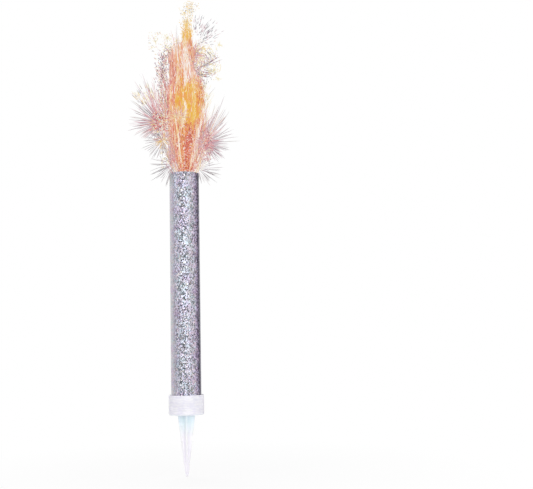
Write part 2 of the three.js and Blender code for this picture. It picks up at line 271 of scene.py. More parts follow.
# The film's painted light and shade, with lilac tints, in bands that come twice round the tube: a painted
# white reflection at one side, lighter and darker bands and a painted dark edge; and the tints of its
# flakes
FILM_PAINTED_LIGHT_AND_SHADE = [
    (0, 254, 253, 254), (0.16, 253, 251, 253), (0.25, 230, 226, 236), (0.34, 236, 235, 246),
    (0.4, 242, 243, 250), (0.45, 219, 221, 229), (0.5, 210, 213, 220), (0.55, 226, 227, 234),
    (0.67, 252, 248, 254), (0.72, 237, 226, 243), (0.775, 210, 196, 220), (0.8, 178, 164, 190),
    (0.82, 98, 86, 111), (0.87, 88, 78, 100), (0.97, 214, 208, 222),
]
FLAKE_TINTS = [
    (0.15, 218, 242, 240), (0.35, 236, 238, 250), (0.5, 244, 244, 248),
    (0.65, 250, 230, 246), (0.85, 252, 248, 224),
]


def holographic_film():
    """Silver glitter film: tilted flakes with pastel tints, under upright bands of painted light and shade
    that come twice round.
    """
    s = Shader("holographic_film", Metallic=0.85)
    place = s.place()
    parts = s.split(place)
    turn = s.math("ARCTAN2", parts["X"], s.times(parts["Y"], -1))
    ragged = s.noise(place, 240, 2)
    wavy = s.math("ADD", turn, s.times(s.math("SUBTRACT", ragged, 0.5), 0.3))
    around = s.math("ADD", s.math("DIVIDE", wavy, pi), 0.5)
    # The glitter's strength follows the same bands: faint where the film is painted near white, as a plain
    # painted reflection
    glittering = [(0, 0.2), (0.2, 0.22), (0.29, 0.7), (0.38, 1), (0.85, 0.9), (0.97, 0.4)]
    glitter = s.ramp(s.math("FRACT", around), glittering)
    upright = s.vector("MULTIPLY", place, (1.8, 1.8, 1.1))
    flakes = s.mix(0.3, s.cells(upright, 1500)["Color"], s.cells(upright, 2900)["Color"])
    parts = s.add("SeparateColor", {"Color": flakes}).outputs
    # Each flake takes the painted light and shade of a spot to its side, which breaks the bands' borders
    # into flakes
    aside = s.times(s.math("SUBTRACT", parts[2], 0.5), s.times(glitter, 0.1))
    # tone: the painted light and shade of the bands, read at each flake's spot
    tone = s.ramp(s.math("FRACT", s.math("ADD", around, aside)), FILM_PAINTED_LIGHT_AND_SHADE)
    shine = s.ramp(parts[0], [(0.15, 0.08), (0.35, 0.3), (0.5, 0.54), (0.65, 0.84), (0.8, 1)])
    tint = s.ramp(parts[1], FLAKE_TINTS)
    silver = s.tinted(s.mix(glitter, grey(0.66), shine), tint)
    # Wide clouds of violet and teal, where the grating of the film turns
    clouds = [(0.3, 240, 250, 248), (0.5, 252, 252, 255), (0.7, 244, 232, 250)]
    cast = s.ramp(s.noise(place, 190, 3), clouds)
    s.wear(Base_Color=s.tinted(s.tinted(silver, cast), tone))
    s.wear(Roughness=s.remap(parts[2], 0, 1, 0.18, 0.42))
    # Each flake tilts the surface its own way
    tilt = s.vector("SUBTRACT", flakes, (0.5, 0.5, 0.5))
    amount = s.add("CombineXYZ", {"X": glitter, "Y": glitter, "Z": glitter}).outputs[0]
    scaled = s.vector("MULTIPLY", s.vector("MULTIPLY", tilt, amount), (0.6, 0.6, 0.6))
    faced = s.vector("ADD", s.add("NewGeometry").outputs["Normal"], scaled)
    s.wear(Normal=s.add("VectorMath", {0: faced}, operation="NORMALIZE").outputs[0])
    return s.material


def milky_plastic():
    """Milky moulded plastic: flow lines round the cup, a painted shade at its +X side, a lilac core and a
    bluish root on the spike.
    """
    s = Shader("milky_plastic", Roughness=0.3, IOR=1.49, Transmission_Weight=0.03)
    s.wear(Subsurface_Weight=0.35, Subsurface_Radius=(1, 0.95, 1.1), Subsurface_Scale=0.0016)
    place = s.place()
    parts = s.split(place)
    cloud = s.noise(place, 420, 3)
    waves = {"Vector": place, "Scale": 230, "Distortion": 9, "Detail": 2, "Detail Scale": 0.8}
    lines = s.add("TexWave", waves, bands_direction="Z").outputs["Fac"]
    cup = s.remap(parts["Z"], -0.001, 0.001)
    flow = s.times(lines, cup)
    cup_base = s.ramp(cloud, [(0.35, 238, 236, 250), (0.65, 248, 246, 254)])
    flowing = s.mix(s.times(flow, 0.2), cup_base, linear(214, 208, 234))
    # A painted shade: a greyer strip at the cup's +X side, which stands for the shade at the cup's right
    # edge
    aside = s.math("ABSOLUTE", s.math("ARCTAN2", parts["Y"], parts["X"]))
    flowing = s.mix(s.remap(aside, 0.12, 0.42, 0.6, 0), flowing, linear(176, 172, 190))
    root = s.remap(parts["Z"], -0.011, -0.003)
    rim = s.remap(s.from_axis(parts), 0.0012, 0.003)
    stem = s.mix(rim, linear(247, 243, 254), linear(253, 252, 255))
    s.wear(Base_Color=s.mix(cup, s.mix(root, stem, linear(231, 245, 253)), flowing))
    skin = s.noise(place, 2600, 2)
    s.wear(Normal=s.bump(s.math("ADD", s.times(skin, 0.3), flow), 0.00003, 0.5))
    return s.material


def kraft_board():
    """Brown board with fibres and the rings of its plies."""
    s = Shader("kraft_board", Roughness=0.9)
    place = s.place()
    fibres = s.noise(place, 1800, 5)
    rings = {"Vector": place, "Scale": 900, "Distortion": 1.5}
    plies = s.add("TexWave", rings, wave_type="RINGS", rings_direction="Z").outputs["Fac"]
    base = s.ramp(fibres, [(0.3, 178, 160, 128), (0.7, 222, 208, 180)])
    s.wear(Base_Color=s.mix(s.times(plies, 0.25), base, linear(150, 132, 104)))
    s.wear(Normal=s.bump(fibres, 0.00008, 0.7))
    return s.material


def grainy(name, dark, light, scale, roughness, depth):
    """A pressed, fibrous or grainy mass: two tones and a bump from one noise."""
    s = Shader(name, Roughness=roughness)
    place = s.place()
    grain = s.noise(place, scale, 6)
    cells = s.cells(place, scale * 1.4)["Distance"]
    blend = s.math("ADD", s.times(grain, 0.7), s.times(cells, 0.45), clamp=True)
    s.wear(Base_Color=s.ramp(blend, [(0.3, *dark), (0.75, *light)]))
    s.wear(Normal=s.bump(blend, depth, 0.8))
    return s.material


def choke_board():
    """Pale board, scorched brown towards the bore that the fire passes."""
    s = Shader("choke_board", Roughness=0.9)
    place = s.place()
    fibres = s.noise(place, 1500, 4)
    ragged = s.math("ADD", s.from_axis(s.split(place)), s.times(fibres, 0.0012))
    away = s.remap(ragged, 0.0050, 0.0066)
    s.wear(Base_Color=s.ramp(away, [(0, 58, 42, 34), (0.6, 186, 160, 124), (1, 224, 214, 192)]))
    s.wear(Normal=s.bump(fibres, 0.00006, 0.6))
    return s.material


# The UV map of strokes, flame and film. On the flame and the strokes it holds a tone along U and the share
# of the second tone along V, and on the film its flat layout.
TONE_MAP = "OFBake"
# The tones of the flame and the sparks, with their second tones
FLAME_TONES = [
    (0, 206, 80, 66), (0.12, 241, 124, 100), (0.3, 244, 162, 116), (0.5, 236, 179, 68),
    (0.64, 244, 202, 100), (0.78, 251, 222, 158), (0.9, 255, 241, 218), (1, 255, 250, 246),
]
BLUSH_TONES = [
    (0, 186, 102, 86), (0.2, 224, 134, 128), (0.5, 242, 184, 168), (0.8, 250, 222, 214),
    (1, 255, 247, 249),
]
SPARK_TONES = [
    (0, 206, 80, 88), (0.15, 226, 128, 116), (0.3, 216, 142, 156), (0.45, 184, 132, 150),
    (0.6, 134, 112, 122), (0.75, 118, 122, 134), (0.87, 238, 172, 92), (1, 244, 218, 128),
]
PALE_TONES = [(0, 248, 216, 208), (0.5, 234, 226, 232), (1, 252, 246, 218)]


def glowing(name, tones, second_tones, glow):
    """Glowing strokes: tones along U of their map, towards the second tones along V, with fine marks."""
    s = Shader(name, Roughness=0.7, Specular_IOR_Level=0.1, Emission_Strength=1)
    uv = s.add("UVMap", uv_map=TONE_MAP).outputs["UV"]
    parts = s.split(uv)
    first, second = s.ramp(parts["X"], tones), s.ramp(parts["X"], second_tones)
    marks = s.noise(uv, 60, 3)
    shade = s.remap(marks, 0.3, 0.7, 0.88, 1.04)
    coloured = s.tinted(s.mix(parts["Y"], first, second), shade)
    s.wear(Base_Color=s.tinted(coloured, grey(1 - glow)))
    s.wear(Emission_Color=s.tinted(coloured, grey(glow)))
    return s.material


# Strokes of flame and trails of sparks


class Strokes:
    """Closed needles gathered in one mesh, each with tones along its length."""

    TONE_WIDTH = 0.006

    def __init__(self):
        self.verts = []
        self.faces = []
        self.map = []

    def add(self, path, radii, tones, second, sides=3):
        """A needle along a path. Its tones and second tones are lists, or one number for all of it."""
        if not isinstance(tones, list):
            tones = [tones] * len(path)
        if not isinstance(second, list):
            second = [second] * len(path)
        first = len(self.verts)
        side = Vector((0.37, 0.61, 0.7)).normalized()
        rows = len(path) - 1
        for k in range(rows):
            ahead = (path[k + 1] - path[max(k - 1, 0)]).normalized()
            across = ahead.cross(side)
            if across.length < 0.1:
                across = ahead.cross(Vector((1, 0, 0)))
            across.normalize()
            over = ahead.cross(across)
            for i in range(sides):
                angle = 2 * pi * i / sides
                self.verts.append(path[k] + (across * cos(angle) + over * sin(angle)) * radii[k])
                self.map.append((tones[k] + self.TONE_WIDTH * i / sides, second[k]))
        self.verts.append(path[-1])
        self.map.append((tones[-1] + self.TONE_WIDTH / 2, second[-1] + self.TONE_WIDTH))
        tip = len(self.verts) - 1
        self.faces.append(tuple(first + i for i in reversed(range(sides))))
        for k in range(rows - 1):
            for i in range(sides):
                j = (i + 1) % sides
                a, b = first + k * sides, first + (k + 1) * sides
                self.faces.append((a + i, a + j, b + j, b + i))
        last = first + (rows - 1) * sides
        for i in range(sides):
            self.faces.append((last + i, last + (i + 1) % sides, tip))

    def dash(self, start, mark, way, length, thick):
        """A short straight needle with its (tone, second) mark, with lengths in millimetres."""
        path = [start + way.normalized() * length * MM * k / 2 for k in range(3)]
        self.add(path, [thick * MM * (1 - k / 3) for k in range(3)], *mark)

    def piece(self, name, material, slot, replaces):
        made = new_piece(name, self.verts, self.faces, material, "fountain", replaces, 180)
        write_map(made.data, self.map)
        return made


def write_map(mesh, places):
    """Writes each vertex's place on the map, kept a little inside its edges."""
    layer, edge = mesh.uv_layers.new(name=TONE_MAP), 0.004
    spots = [min(max(x, edge), 1 - edge) for loop in mesh.loops for x in places[loop.vertex_index]]
    layer.data.foreach_set("uv", spots)


def at(x, y, height):
    """A point in millimetres over the plume's base, in the frame."""
    return Vector((x * MM, y * MM, PLUME_BASE + height * MM))


def any_way():
    return Vector((gauss(0, 1), gauss(0, 1), gauss(0, 1))).normalized()


def outward(azimuth):
    """A level direction away from the axis."""
    return Vector((cos(azimuth), sin(azimuth), 0))


def heading(degrees, depth):
    """A direction in the picture's plane, in degrees from +X, with some depth."""
    return Vector((cos(radians(degrees)), depth, sin(radians(degrees))))


def bell(value, middle, width):
    return exp(-(((value - middle) / width) ** 2))


def smooth(low, high, value):
    t = min(max((value - low) / (high - low), 0), 1)
    return t * t * (3 - 2 * t)


# Zones of the flame's colour: x and height of the middle, half sizes, tone, blush, strength
FLAME_ZONES = [
    (2, 35.2, 8.2, 11, 0.5, -0.3, 1),
    (8.2, 39, 2.4, 8, 0.46, 0.2, 0.7),
    (-3.2, 40, 2, 4, 0.5, -0.3, 1),
    (-4.4, 32, 1.6, 3, 0.36, 0, 0.7),
    (-0.8, 12, 1.5, 12, 0.4, 0.15, 0.8),
    (-7.6, 30, 2, 22, 0.5, 0.8, 0.8),
    (-5.4, 45, 1.6, 5, 0.68, 0.5, 0.8),
    (1.4, 21.5, 4, 3, 0.4, 0, 0.8),
    (2, 27, 2.2, 3, 0.58, -0.2, 0.6),
    (-5.8, 14, 1.6, 9, 0.52, 0.6, 0.8),
    (-5.6, 54, 3, 12, 0.5, 0.8, 0.9),
    (-2.4, 51, 1.2, 11, 0.52, 0.3, 0.8),
    (-0.8, 52, 1, 12, 0.44, 0, 1),
    (-3.2, 28, 2.2, 2.6, 0.85, 0.6, 0.7),
    (1.4, 57, 1.9, 9, 0.96, 0.4, 1),
    (5.8, 51, 2.2, 6, 0.74, 0.7, 0.9),
    (4.2, 64, 1.2, 7, 0.34, 0.4, 0.8),
]
# Streaks of the flame: (height, x) points, half width, tone, blush
FLAME_STREAKS = [
    ([(-2, 1.2), (5, 1.5)], 2, 0.16, 0.15),
    ([(5, 1.5), (9, 1.9), (17, 2.3)], 2, 0.22, 0.4),
    ([(17, 2.3), (22, 3)], 1.5, 0.32, 0.1),
    ([(-2, -2.4), (10, -2.7), (19, -3.1), (23, -3.7), (29, -4.4)], 0.4, 0.68, 0),
    ([(29, -4.8), (37, -6.6), (46, -7.2)], 0.6, 0.68, 0.5),
    ([(46, -2.8), (57, -2.4), (64, -1.2)], 0.7, 0.84, 0.2),
    ([(4, 4.9), (9, 5.7), (15, 6.2), (21, 8), (27, 9.3), (34, 10.6)], 1.5, 0.92, 0.3),
    ([(21, -0.8), (27, 0.6), (31, 0.9)], 0.9, 0.9, 0),
    ([(31, 0.9), (37, -0.2), (42, 0.5)], 0.4, 0.62, -0.2),
    ([(42, 0.5), (48, 1.4), (57, 1.6), (62, 1.2)], 1, 0.92, 0.2),
    ([(62, 1.2), (66, 0.8), (72, 1)], 1, 0.84, 0),
    ([(24, 4.4), (30, 5.4), (37, 5.2), (42, 5.2), (48, 5.4)], 1, 0.72, -0.1),
]


# Lines of long thin strokes: (height, x) points, count, scatter, (tone, blush) pairs
PALE, WARM = ((0.94, 0.2), (0.88, 0.1)), ((0.8, 0.1), (0.68, 0))
DARK = ((0.08, 0.1), (0.2, 0), (0.1, 0.5))
FLAME_LINES = [
    ([(-2, -2.3), (10, -2.7), (19, -3.1), (23, -3.7), (32, -4.6)], 14, 0.3, PALE),
    ([(-1, 4), (9, 5.7), (15, 6.4), (21, 8), (27, 9.1), (33, 10)], 34, 0.8, PALE),
    ([(18, -1.6), (27, 0.6), (32, 0.9), (37, -0.2), (44, 0.6)], 14, 0.3, PALE + WARM),
    ([(28, 5), (37, 5.2), (42, 5.2), (50, 5.6)], 16, 0.7, WARM),
    ([(24, -6.8), (32, -7), (40, -7.2), (52, -7.6)], 20, 0.7, PALE + WARM),
    ([(24, -5.8), (32, -6.2), (40, -6.4), (56, -6.6)], 12, 0.8, ((0.2, 0.4), (0.26, 0.3), (0.3, 0.6))),
    ([(-1, -3), (8, -4.6), (16, -5.2), (24, -5.6)], 22, 0.6, DARK + WARM),
    ([(40, -3.6), (52, -3), (64, -2)], 18, 0.6, PALE + WARM),
    ([(38, -0.8), (50, -1), (60, -0.8)], 16, 0.5, ((0.4, 0), (0.46, 0.1))),
    ([(44, 1.2), (57, 1.6), (70, 1.2)], 24, 0.7, PALE),
    ([(-1, 1.2), (9, 1.9), (15, 2.3), (19, 2.7)], 14, 0.8, DARK),
]


def along(line, height):
    """The x of a (height, x) line at a height, or None beyond its ends."""
    for (low, x_low), (high, x_high) in zip(line, line[1:]):
        if low <= height <= high:
            return x_low + (x_high - x_low) * (height - low) / (high - low)
    return None


def flame_tint(x, height):
    """The flame's tone, from 0, red, to 1, nearly white, and its blush at a place."""
    tone, blush = 0.37, 0.5
    for middle, rise, wide, tall, zone_tone, zone_blush, strength in FLAME_ZONES:
        share = strength * min(1, 1.5 * bell(x, middle, wide) * bell(height, rise, tall))
        tone += (zone_tone - tone) * share
        blush += (zone_blush - blush) * share
    for line, width, streak_tone, streak_blush in FLAME_STREAKS:
        middle = along(line, height)
        if middle is not None:
            share = 0.9 * bell(x, middle, width)
            tone += (streak_tone - tone) * share
            blush += (streak_blush - blush) * share
    top = smooth(66, 72, height)
    tone += (0.6 + 0.014 * (height - 70) - tone) * top
    return tone, blush * (1 - top)


flame_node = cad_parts["flame_core"]
SPIRE_AXIS = (2.4, 0)


def drawn_in(point, height):
    """A point of the flame, drawn in from its solid at its foot, flank, shoulder and spire."""
    spire = 0.2 * smooth(64, 71, height) + 0.35 * smooth(71, 76, height) + 0.2 * smooth(76, 84, height)
    middle = at(SPIRE_AXIS[0], SPIRE_AXIS[1], height)
    flank = (1.8 * bell(height, 10, 8) + 1.5 * bell(height, 54, 14)) * smooth(1, 7, -point.x / MM)
    foot = 0.35 * (1 - smooth(0, 11, height))
    point = point + (at(1.1, 0, height) - point) * foot
    shoulder = 0.5 * bell(height, 61, 5) * smooth(2.5, 5, point.x / MM)
    return point + (middle - point) * spire + Vector(((flank - shoulder) * MM, 0, 0))


def flame_surface():
    points = [vertex.co.copy() for vertex in flame_node.data.vertices]
    return BVHTree.FromPolygons(points, [tuple(face.vertices) for face in flame_node.data.polygons])


surface = flame_surface()
SEARCH = 40 * MM


def on_flame(azimuth, height, axis=(0, 0)):
    """Where a level line towards the flame's axis first meets it, at a height in millimetres."""
    way = outward(azimuth)
    start = at(axis[0], axis[1], height) + way * SEARCH
    return surface.ray_cast(start, -way, SEARCH)[0]


def flame_body(material):
    """The flame's mass, a little inside its solid, with its tones drawn in upright strokes."""
    source = linked("flame_source", flame_node.data.copy())
    remesh = source.modifiers.new("remesh", "REMESH")
    remesh.mode, remesh.voxel_size = "VOXEL", 0.6 * MM
    soften = source.modifiers.new("soften", "SMOOTH")
    soften.iterations = 5
    mesh = bpy.data.meshes.new_from_object(source.evaluated_get(bpy.context.evaluated_depsgraph_get()))
    bpy.data.objects.remove(source)
    places = []
    normals = [vertex.normal.copy() for vertex in mesh.vertices]
    for vertex, normal in zip(mesh.vertices, normals):
        fold = noise.noise(Vector((vertex.co.x * 520, vertex.co.y * 520, vertex.co.z * 60)))
        vertex.co -= normal * (0.6 + 0.5 * fold) * MM
        height = (vertex.co.z - PLUME_BASE) / MM
        vertex.co = drawn_in(vertex.co, height)
        tone, blush = flame_tint(vertex.co.x / MM, height)
        places.append((tone + 0.2 * fold, blush + 0.3 * noise.noise(vertex.co * 700)))
    made = dress("flame_body", mesh, material, "fountain", ["flame_core"], 180)
    write_map(made.data, places)
    return made


def stroke_kind():
    """A stroke's shift of tone and blush and its share of the width: some are pale, red or pink."""
    kind = chance.random()
    if kind < 0.13:
        return 0.32, 0.1, 1.5
    if kind < 0.27:
        return -0.2, 0.25, 1.5
    if kind < 0.39:
        return 0.04, 0.55, 1.3
    return 0, 0, 1


def flame_strokes():
    """Upright strokes laid over the whole flame, which leave its surface at their tips."""
    strokes, enough, steps = Strokes(), 56000, 6
    spire_foot = 58
    while len(strokes.faces) < enough:
        azimuth = uniform(0, 2 * pi)
        low = uniform(-2.5, 72)
        length = uniform(3, 14) * (0.6 if low > spire_foot else 1)
        thick = uniform(0.1, 0.28)
        lift = uniform(-0.3, 0.35)
        flare = uniform(0.4, 1.7) if chance.random() < 0.25 else uniform(0, 0.4)
        kind_tone, kind_blush, kind_width = stroke_kind()
        drift = uniform(-0.12, 0.12)
        axis = SPIRE_AXIS if low > spire_foot else (0, 0)
        path, tones, second, radii = [], [], [], []
        for k in range(steps + 1):
            share = k / steps
            height = low + length * share
            point = on_flame(azimuth + drift * share, height, axis)
            if point is None:
                break
            point = drawn_in(point, height) + outward(azimuth) * (lift + flare * share * share) * MM
            if path and (point - path[-1]).length > 2.5 * length / steps * MM:
                break
            path.append(point)
            tone, blush = flame_tint(point.x / MM, height)
            calm = 0.25 if blush < 0 else 1
            tones.append(tone + kind_tone * calm + gauss(0, 0.045))
            second.append(blush + kind_blush * calm)
            radii.append(thick * kind_width * MM * (1 - share) ** 0.6 * min(1, 0.35 + 3 * share))
        if len(path) > 3:
            strokes.add(path, radii, tones, second)
    return strokes


def flame_tips(strokes):
    """Brush tips that shoot up from the crown of each tongue."""
    crowns = [
        (-5.4, -1, 60, 0.8, 80),
        (-3, -1, 59, 1, 44),
        (6.2, 1, 47, 1.2, 44),
        (1.9, -4.2, 50, 1.2, 30),
        (-1.3, 4.5, 54, 1.2, 30),
        (2.4, 0, 66, 1, 40),
        (-2.4, -0.5, 62, 0.7, 50),
        (4.6, -0.5, 62, 0.6, 60),
    ]
    for x, y, height, spread, count in crowns:
        for _ in range(count):
            dx, dy = gauss(0, spread), gauss(0, 1.2)
            rise = uniform(3, 8)
            lean = Vector((dx * 0.1 + gauss(0, 0.06), dy * 0.1, 1)).normalized()
            start = at(x + dx, y + dy, height - uniform(0, 6))
            path = [start + lean * rise * MM * k / 5 for k in range(6)]
            tone, blush = flame_tint(x + dx, height)
            kind_tone, kind_blush, kind_width = stroke_kind()
            thick = uniform(0.12, 0.28) * kind_width * MM
            tones = [tone + kind_tone + 0.12 * k / 5 for k in range(6)]
            strokes.add(path, [thick * (1 - k / 6) for k in range(6)], tones, blush + kind_blush)


# How far the flecks' tone and blush lie from their place's
FLECK_SHIFTS = (
    (-0.38, 0.1), (-0.26, 0.3), (-0.44, 0.3), (0.2, -0.1), (0.3, 0.1), (0.7, 0.4), (-0.4, 0.7),
)
# The (tone, second) marks of the wedge's dots and of the cool dashes
WEDGE_DOTS = ((0, 0), (0.02, 0.2), (0, 0.7), (0.9, 0.9), (0.8, 0.7))
COOL_DASHES = ((0.62, 0), (0.74, 0), (0.74, 0.3), (0.5, 0.3), (0.3, 0.4))


def flecks(strokes, count):
    """Small flecks of other colours in the flame's surface."""
    made = 0
    while made < count:
        azimuth, height = uniform(0, 2 * pi), uniform(0, 66)
        point = on_flame(azimuth, height)
        if point is None:
            continue
        tone, blush = flame_tint(point.x / MM, height)
        tone_shift, blush_shift = choice(FLECK_SHIFTS)
        if blush < 0:
            tone_shift *= 0.5
            blush_shift *= 0.5
        start = drawn_in(point, height) + outward(azimuth) * uniform(0.1, 0.5) * MM
        if chance.random() < 0.3 + 0.3 * bell(height, 10, 14):
            lean, size, length = any_way() * 0.8 + Vector((0, 0, 1)), 0.24, uniform(0.5, 1.4)
        else:
            lean, size, length = any_way() * 0.16 + Vector((0, 0, 1)), 0.15, uniform(1.4, 4)
        strokes.dash(start, (tone + tone_shift, blush + blush_shift), lean, length, size)
        made += 1


def facing_spot(x, height, facing):
    """A place on the flame's front (facing -1) or back (facing 1), or None beside it."""
    far = at(x, facing * SEARCH / MM, height)
    point = surface.ray_cast(far, Vector((0, -facing, 0)), SEARCH)[0]
    return None if point is None else drawn_in(point, height) + Vector((0, 0.4 * facing * MM, 0))


def wedge_dots(strokes, count):
    """Dark and pale dots in the red wedge over the mouth."""
    wedge = FLAME_LINES[-1][0]
    for _ in range(count):
        height = uniform(-1, 18.8)
        spot = facing_spot(along(wedge, height) + gauss(0, 1.4), height, choice((-1, -1, 1)))
        if spot is not None:
            strokes.dash(spot, choice(WEDGE_DOTS), any_way(), uniform(0.5, 1.4), 0.27)


def long_strokes(strokes, line, count, scatter, tones):
    """Long thin strokes laid over the flame's front and back along a line of (height, x) points."""
    low, high = line[0][0], line[-1][0]
    for _ in range(count):
        shift, facing = gauss(0, scatter), choice((-1, -1, 1))
        start = uniform(low, low + 0.5 * (high - low))
        rise = uniform(0.35, 0.9) * (high - start)
        path = []
        for k in range(13):
            height = start + rise * k / 12
            spot = facing_spot(along(line, height) + shift, height, facing)
            if spot is None:
                break
            path.append(spot)
        if len(path) > 4:
            last = len(path) - 1
            thick = uniform(0.12, 0.24) * MM
            radii = [thick * (0.3 + 0.7 * sin(pi * k / last)) for k in range(last + 1)]
            strokes.add(path, radii, *choice(tones))


def star(strokes, centre, size, mark, count, thick=0.13):
    """A small star of needles."""
    for _ in range(count):
        strokes.dash(centre, mark, any_way(), size * uniform(0.5, 1), thick)


def small_stars(strokes, places, second, heart):
    """Pale stars with a small darker heart, at places given as (x, height)."""
    for x, height in places:
        centre = at(x, gauss(0, 2), height)
        star(strokes, centre, 2.8, (1, second), 18)
        star(strokes, centre, 0.9, (heart, 0.3), 5)


# How far the star's needles reach, as (degrees from +X, millimetres)
STAR_REACH = [(0, 3.6), (60, 4.6), (95, 5.4), (130, 4.4), (180, 3.6), (270, 3.4), (360, 3.6)]


def spire_sparks(strokes):
    """The star at the spire's shoulder."""
    for mark, count, size in (((0.46, 0), 38, 4.2), ((0.6, 0), 36, 4.9), ((0.8, 0.1), 38, 5.6)):
        star(strokes, at(2, 0, 72.8), size, mark, count, 0.1)
    fan(strokes, (2.1, -1.2, 72.5), STAR_REACH, 28, (0.6, 1.15), (0.34, 0.42), (0.5, 0.66), 0.14, (0, 0.1))


def drifting_stars(strokes, low, high, count, tones):
    """Sparse small stars that drift up over the spire, wider apart towards the top."""
    for _ in range(count):
        height = uniform(low, high)
        drift = 2.1 + 2 * smooth(83, 89, height)
        spread = 1.3 + 0.8 * smooth(78, 87, height)
        centre = at(drift + gauss(0, spread), gauss(0, 1.4), height)
        mark, size = choice(tones), uniform(0.4, 1)
        star(strokes, centre, size, mark, 4, 0.09)


def trail(strokes, middle, way, length, size, start, hearts, ends, pale):
    """A spark's trail out of a burst's middle, from one of the heart tones to one of the end tones."""
    inner, outer, paling = choice(hearts), choice(ends), uniform(*pale)
    bend = Vector((gauss(0, 0.06), gauss(0, 0.06), gauss(-0.03, 0.06)))
    path, radii, tones, second = [], [], [], []
    for k in range(7):
        share = start + (1 - start) * k / 6
        path.append(at(*middle) + (way * share + bend * share * share) * length * MM)
        radii.append(size * MM * (0.4 + 0.6 * sin(pi * (k / 6) ** 1.6)))
        tones.append(inner + (outer - inner) * smooth(0.15, 0.7, share) + gauss(0, 0.015))
        second.append(paling * (0.4 + 0.6 * share))
    strokes.add(path, radii, tones, second)


def throw(strokes, middle, facing, spread, count, reach, hearts, ends, thick, pale):
    """A burst of trails thrown from one point into a cone."""
    facing = Vector(facing).normalized()
    for _ in range(count):
        way = any_way()
        while way.dot(facing) < cos(radians(spread)):
            way = any_way()
        length = chance.triangular(reach[0], reach[1], reach[1]) * (0.75 + 0.25 * way.dot(facing))
        size, start = thick * uniform(0.6, 1.4), uniform(0.02, 0.55)
        trail(strokes, middle, way, length, size, start, hearts, ends, (0, pale))


def fan(strokes, middle, reach, count, share, hearts, ends, thick, pale):
    """Trails spread evenly in one upright plane, which each fly a share of the reach there."""
    first, last = reach[0][0], reach[-1][0]
    for i in range(count):
        angle = first + (last - first) * (i + uniform(0.15, 0.85)) / count
        way = heading(angle, gauss(-0.06, 0.16)).normalized()
        length = along(reach, angle) * uniform(*share)
        size, start = thick * uniform(0.75, 1.25), uniform(0.05, 0.4)
        trail(strokes, middle, way, length, size, start, hearts, ends, pale)


def curls(strokes, middle, count, tones):
    """Trails that curl as they fly, on short arcs of circles round scattered hubs."""
    for _ in range(count):
        radius = uniform(1.2, 4.6)
        hub = Vector(middle) + Vector((uniform(-5.4, 5.4), gauss(0, 1.8), uniform(-6, 6)))
        angle, sweep = uniform(-3.1, 3.1), choice((-1, 1)) * uniform(1.6, 4.2) / radius
        tilt = gauss(0, 0.4)
        path = []
        for k in range(8):
            turn = angle + sweep * k / 7
            path.append(at(*(hub + Vector((cos(turn), tilt * sin(turn), sin(turn))) * radius)))
        strokes.add(path, [0.16 * MM * (1 - k / 9) for k in range(8)], *choice(tones))


def whips(strokes, lines, copies, scatter, tones):
    """Bowed trails, each given by the (x, height) of its foot, its bend and its end, and some like it."""
    for line in lines:
        for _ in range(copies):
            foot, bend, end = (
                at(x + gauss(0, scatter), gauss(-0.5, 1.2), height + gauss(0, scatter))
                for x, height in line
            )
            path = [foot.lerp(bend, k / 7).lerp(bend.lerp(end, k / 7), k / 7) for k in range(8)]
            mark, size = choice(tones), uniform(0.12, 0.18) * MM
            strokes.add(path, [size * (0.3 + sin(pi * k / 7) ** 0.7) for k in range(8)], *mark)


def bristles(strokes, line, count, spread, length, tones):
    """A fuzz of short hairs along a line of (height, x) points, thickest in the middle."""
    low, high = line[0][0], line[-1][0]
    for _ in range(count):
        height = low + (high - low) * chance.betavariate(1.6, 1.6)
        start = at(along(line, height) + gauss(0, spread), gauss(-1, 2), height)
        way = heading(gauss(125, 28), gauss(0, 0.4))
        strokes.dash(start, choice(tones), way, uniform(*length), 0.19)


def feathers(strokes, foot, leans, count, reach, tones):
    """Long thin trails that rise beside the flame from a burst's heart."""
    for _ in range(count):
        lean = radians(uniform(*leans))
        way = Vector((-sin(lean), gauss(0, 0.12), cos(lean)))
        start = Vector(foot) + Vector((gauss(0, 1.4), gauss(0, 1.6), uniform(-3, 9)))
        length = uniform(*reach)
        bow = Vector((gauss(0, 0.06), 0, 0))
        path = [at(*(start + (way * k / 6 + bow * (k / 6) ** 2) * length)) for k in range(7)]
        mark, size = choice(tones), uniform(0.07, 0.14) * MM
        strokes.add(path, [size * (1 - k / 7.5) for k in range(7)], *mark)


def wisps(strokes, middle, angles, distance, count, tones):
    """Short dashes that fly away from a burst's middle, with the angles in degrees from +X."""
    for _ in range(count):
        way = heading(uniform(*angles), gauss(0, 0.15))
        mark = choice(tones)
        strokes.dash(at(*middle) + way * uniform(*distance) * MM, mark, way, uniform(1, 3), 0.16)


def dashes(strokes, count):
    """Short cool dashes that fly off at the upper right."""
    for _ in range(count):
        way = heading(uniform(24, 84), gauss(0, 0.3)).normalized()
        start = at(4, 0, 64) + way * chance.triangular(7, 20, 13) * MM
        strokes.dash(start, choice(COOL_DASHES), way, uniform(1, 3), 0.14)


def specks(strokes, low, high, count, tones, thick=0.19):
    """Stray specks in a box between two corners in millimetres."""
    for _ in range(count):
        place = at(*(uniform(a, b) for a, b in zip(low, high)))
        strokes.dash(place, choice(tones), any_way(), uniform(0.5, 1.3), thick)


# The plume

